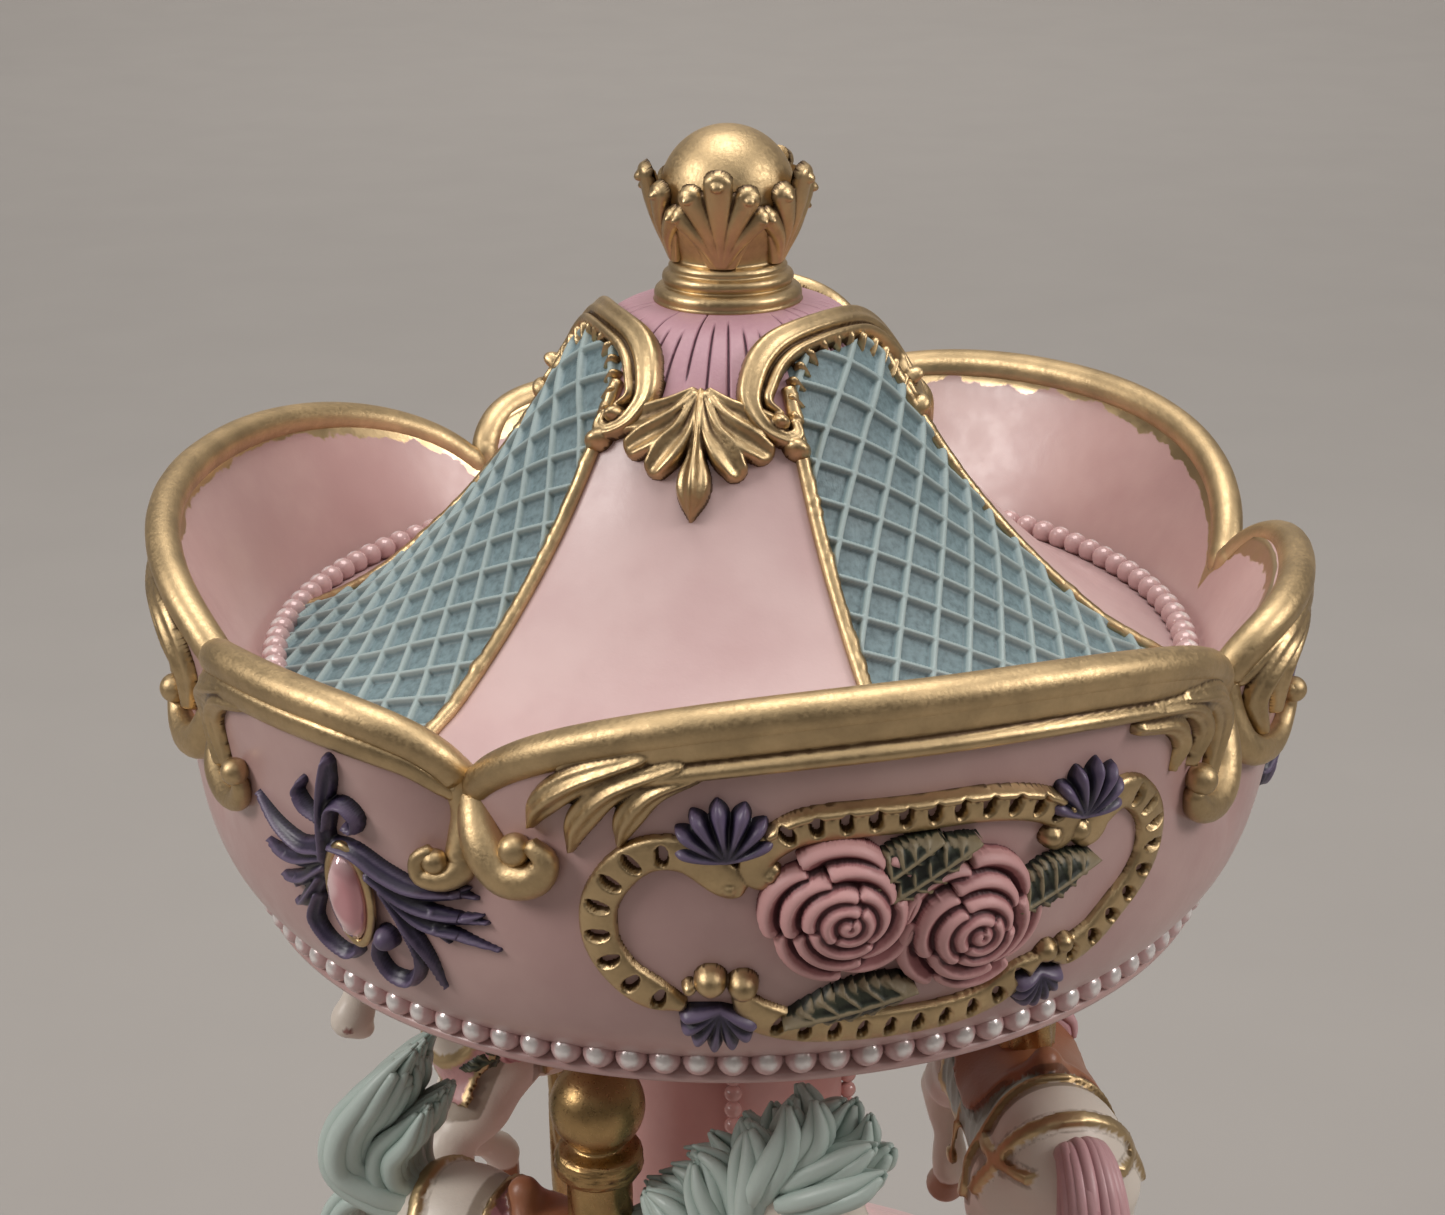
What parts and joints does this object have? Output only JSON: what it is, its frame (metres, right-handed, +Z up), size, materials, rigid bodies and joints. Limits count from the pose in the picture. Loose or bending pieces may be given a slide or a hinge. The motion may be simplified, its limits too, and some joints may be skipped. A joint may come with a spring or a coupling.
{
  "type": "carousel music box",
  "caption": "Wind-up music box with horses on a turning platform under a scalloped, pearl-edged canopy on a round base.",
  "frame": {"origin": "centre of the base where it stands", "axes": "+Z up along the turning axis, -Y the front, +X right"},
  "size_m": [0.174, 0.174, 0.3037],
  "materials": {
    "pink_enamel": "satin pale pink enamel on cast resin",
    "gold_paint": "satin brushed gold paint with brown patina in the recesses",
    "pearl": "pearlescent pinkish white enamel",
    "rose_pink": "dusty pink hand painted resin",
    "leaf_green": "dark green hand painted resin with dry-brushed veins",
    "purple": "dark purple hand painted resin",
    "gem": "faceted pink acrylic",
    "blue_lattice": "grey-blue paint with dry-brushed pale ridges",
    "mauve": "mauve paint with dark grooves",
    "horse_cream": "satin cream paint with coloured harness",
    "pole_gold": "satin gold",
    "brass": "turned brass",
    "steel": "bright steel",
    "zinc": "plated die-cast bedplate",
    "black_plastic": "moulded plastic",
    "felt": "soft foot pad"
  },
  "bodies": {
    "base": {"base_shell": "pink_enamel", "base_plinth_rim": "gold_paint", "base_pearls": "pearl", "base_top_moulding": "gold_paint", "base_cartouches": "gold_paint", "base_roses": "rose_pink", "base_leaves": "leaf_green", "base_gems": "gem", "base_flourishes": "purple", "foot_pads": "felt", "bottom_cover": "black_plastic", "cover_screws": "steel", "deck_plate": "black_plastic", "spindle_bush": "brass", "cam_track": "black_plastic", "movement_bedplate": "zinc", "gear_frame": "zinc", "comb": "steel", "movement_screws": "steel"},
    "carousel": {"spring_barrel": "brass", "mainspring": "steel", "spindle": "steel", "platform": "pink_enamel", "platform_trim": "gold_paint", "guide_bushes": "brass", "column": "pink_enamel", "column_mouldings": "gold_paint", "column_pearls": "pearl", "tie_rod": "steel", "ceiling_plate": "pink_enamel", "canopy_band": "pink_enamel", "canopy_rim": "gold_paint", "lower_pearls": "pearl", "upper_pearls": "pearl", "band_cartouches": "gold_paint", "band_roses": "rose_pink", "band_leaves": "leaf_green", "band_gems": "gem", "band_flourishes": "purple", "rim_scrolls": "gold_paint", "roof": "pink_enamel", "roof_collar": "mauve", "acanthus_leaves": "gold_paint", "roof_arches": "gold_paint", "roof_ribs": "gold_paint", "lattice_panels": "blue_lattice", "finial_cup": "gold_paint", "finial_ball": "gold_paint"},
    "horse_one": {"horse_1": "horse_cream", "pole_1": "pole_gold"},
    "horse_two": {"horse_2": "horse_cream", "pole_2": "pole_gold"},
    "horse_three": {"horse_3": "horse_cream", "pole_3": "pole_gold"},
    "key": {"winding_key": "brass", "winding_arbor": "steel"},
    "cylinder": {"tune_cylinder": "brass"},
    "fly": {"air_brake_fly": "black_plastic"},
    "stop": {"stop_knob": "brass"}
  },
  "joints": [
    {"name": "carousel_spin", "type": "hinge", "parent": "base", "child": "carousel", "pos_m": [0, 0, 0.0765], "axis": [0, 0, 1], "continuous": true},
    {"name": "horse_one_rise", "type": "slide", "parent": "carousel", "child": "horse_one", "axis": [0, 0, 1], "range_m": [0, 0.008]},
    {"name": "horse_two_rise", "type": "slide", "parent": "carousel", "child": "horse_two", "axis": [0, 0, 1], "range_m": [0, 0.008]},
    {"name": "horse_three_rise", "type": "slide", "parent": "carousel", "child": "horse_three", "axis": [0, 0, 1], "range_m": [0, 0.008]},
    {"name": "key_turn", "type": "hinge", "parent": "base", "child": "key", "pos_m": [0, 0, 0.009], "axis": [0, 0, 1], "range_deg": [0, 1080]},
    {"name": "cylinder_spin", "type": "hinge", "parent": "base", "child": "cylinder", "pos_m": [0.035, 0, 0.037], "axis": [1, 0, 0], "continuous": true},
    {"name": "fly_spin", "type": "hinge", "parent": "base", "child": "fly", "pos_m": [0.055, 0.009, 0.037], "axis": [1, 0, 0], "continuous": true},
    {"name": "stop_slide", "type": "slide", "parent": "base", "child": "stop", "axis": [-1, 0, 0], "range_m": [0, 0.004]}
  ],
  "couplings": [
    {"joint": "cylinder_spin", "follows": "carousel_spin", "ratio": 5},
    {"joint": "fly_spin", "follows": "carousel_spin", "ratio": -17.5}
  ]
}
